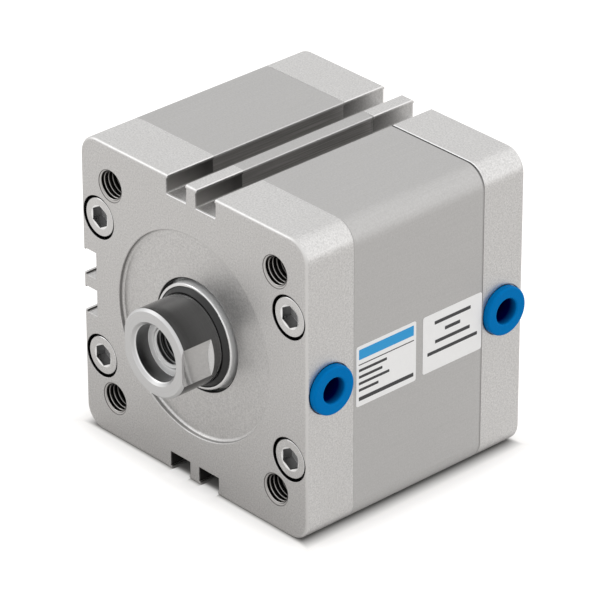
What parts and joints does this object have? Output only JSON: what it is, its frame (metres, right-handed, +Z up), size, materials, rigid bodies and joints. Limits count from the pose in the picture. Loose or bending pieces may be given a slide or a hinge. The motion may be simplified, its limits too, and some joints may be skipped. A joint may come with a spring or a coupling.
{
  "type": "compact pneumatic cylinder",
  "caption": "Square double-acting compact air cylinder with end caps, slotted barrel, push-in tube ports and a female-threaded piston rod that slides and turns.",
  "frame": {"origin": "centre of the rod-side mounting face, on the rod axis", "axes": "rod extends along -Y, body runs along +Y, air ports face +X, +Z up"},
  "size_m": [0.0792, 0.08, 0.0776],
  "materials": {
    "cap_aluminium": "bead blasted, clear anodised",
    "barrel_aluminium": "smooth anodised extrusion",
    "piston_aluminium": "turned",
    "rod_steel": "ground and hard chromed",
    "polished_steel": "polished",
    "screw_steel": "bright zinc plated",
    "spring_steel": "spring steel",
    "bush_bronze": "sintered bronze",
    "sleeve_brass": "nickel plated brass",
    "seal_rubber": "moulded elastomer",
    "magnet_ferrite": "plastic-bonded magnet",
    "guide_plastic": "low-friction plastic",
    "release_plastic": "glossy moulded"
  },
  "bodies": {
    "housing": {"barrel": "barrel_aluminium", "front_cap": "cap_aluminium", "rear_cap": "cap_aluminium", "front_cap_screws": "screw_steel", "rear_cap_screws": "screw_steel", "wiper_retainer": "polished_steel", "rod_wiper": "seal_rubber", "rod_bush": "bush_bronze", "rod_seal": "seal_rubber", "seal_washer": "polished_steel", "front_barrel_seal": "seal_rubber", "rear_barrel_seal": "seal_rubber", "front_bumper": "seal_rubber", "rear_bumper": "seal_rubber", "front_port_sleeve": "sleeve_brass", "front_grab_ring": "spring_steel", "front_tube_seal": "seal_rubber", "rear_port_sleeve": "sleeve_brass", "rear_grab_ring": "spring_steel", "rear_tube_seal": "seal_rubber"},
    "piston_guide": {"piston_guide_band": "guide_plastic", "front_piston_seal": "seal_rubber", "rear_piston_seal": "seal_rubber"},
    "piston_and_rod": {"piston_rod": "rod_steel", "front_piston_disc": "piston_aluminium", "rear_piston_disc": "piston_aluminium", "piston_magnet": "magnet_ferrite", "piston_hub_seal": "seal_rubber", "piston_screw": "screw_steel"},
    "front_release": {"front_release_ring": "release_plastic"},
    "rear_release": {"rear_release_ring": "release_plastic"}
  },
  "joints": [
    {"name": "piston_slide", "type": "slide", "parent": "housing", "child": "piston_guide", "axis": [0, -1, 0], "range_m": [0, 0.02]},
    {"name": "rod_turn", "type": "hinge", "parent": "piston_guide", "child": "piston_and_rod", "pos_m": [0, 0, 0], "axis": [0, -1, 0], "continuous": true},
    {"name": "front_ring_press", "type": "slide", "parent": "housing", "child": "front_release", "axis": [-1, 0, 0], "range_m": [0, 0.0006], "stiffness_N_per_m": 1500},
    {"name": "rear_ring_press", "type": "slide", "parent": "housing", "child": "rear_release", "axis": [-1, 0, 0], "range_m": [0, 0.0006], "stiffness_N_per_m": 1500}
  ]
}
